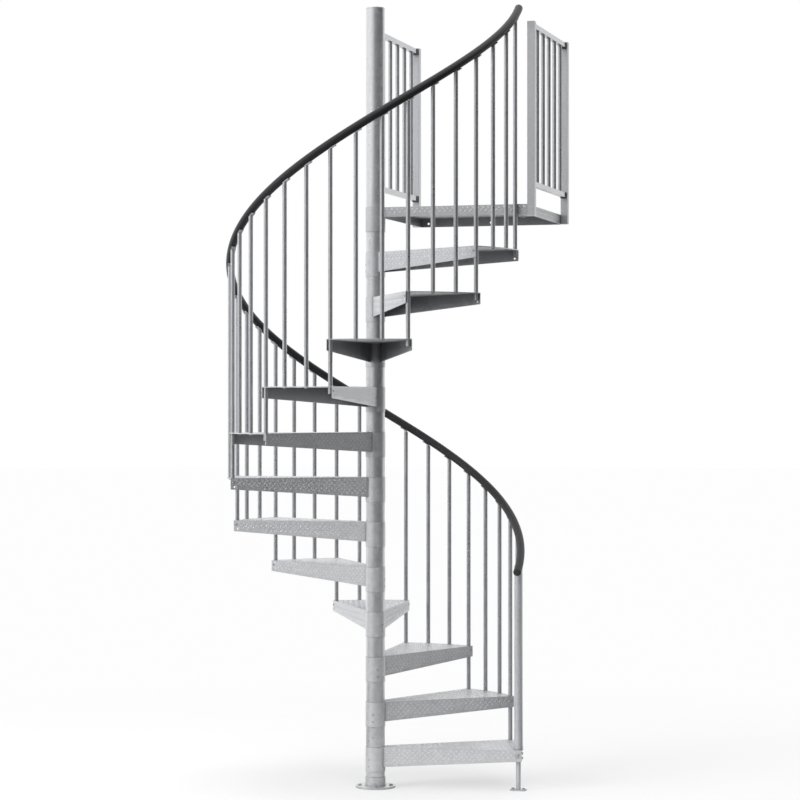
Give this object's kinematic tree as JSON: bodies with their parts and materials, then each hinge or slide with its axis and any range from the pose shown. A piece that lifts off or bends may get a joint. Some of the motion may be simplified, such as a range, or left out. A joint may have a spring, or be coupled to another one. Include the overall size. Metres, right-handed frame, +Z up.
{
  "type": "spiral staircase",
  "caption": "Steel spiral staircase round a centre pole, with wedge treads, upright balusters, a winding handrail and a rectangular landing between two guard panels.",
  "frame": {"origin": "centre of the base plate's underside, on the axis of the centre pole", "axes": "+Z up along the pole; +X along the landing's front edge, away from the pole; +Y from the landing's front edge to its far edge"},
  "size_m": [1.6135, 1.5538, 4.016],
  "materials": {
    "galvanised_plate": "galvanised diamond-pattern plate, dull grey",
    "galvanised_tube": "galvanised tube, dull grey",
    "galvanised_pole": "galvanised pole and sleeves, dull grey",
    "handrail_cover": "satin black cover over a steel tube"
  },
  "bodies": {
    "root": {"base_flange": "galvanised_pole", "first_spacer": "galvanised_pole", "spacer_sleeves": "galvanised_pole", "centre_pole": "galvanised_pole", "pole_cap": "galvanised_pole", "top_sleeve": "galvanised_pole", "tread_01": "galvanised_plate", "tread_02": "galvanised_plate", "tread_03": "galvanised_plate", "tread_04": "galvanised_plate", "tread_05": "galvanised_plate", "tread_06": "galvanised_plate", "tread_07": "galvanised_plate", "tread_08": "galvanised_plate", "tread_09": "galvanised_plate", "tread_10": "galvanised_plate", "tread_11": "galvanised_plate", "tread_12": "galvanised_plate", "balusters_01": "galvanised_tube", "balusters_02": "galvanised_tube", "balusters_03": "galvanised_tube", "balusters_04": "galvanised_tube", "balusters_05": "galvanised_tube", "balusters_06": "galvanised_tube", "balusters_07": "galvanised_tube", "balusters_08": "galvanised_tube", "balusters_09": "galvanised_tube", "balusters_10": "galvanised_tube", "balusters_11": "galvanised_tube", "balusters_12": "galvanised_tube", "newel_post": "galvanised_tube", "newel_foot": "galvanised_tube", "handrail_1": "handrail_cover", "handrail_2": "handrail_cover", "handrail_3": "handrail_cover", "handrail_4": "handrail_cover", "handrail_plugs": "handrail_cover", "rail_brackets": "galvanised_tube", "landing_deck": "galvanised_plate", "guard_right": "galvanised_tube", "guard_left": "galvanised_tube", "post_near_right": "galvanised_tube", "post_far_right": "galvanised_tube", "post_far_left": "galvanised_tube"}
  },
  "joints": []
}
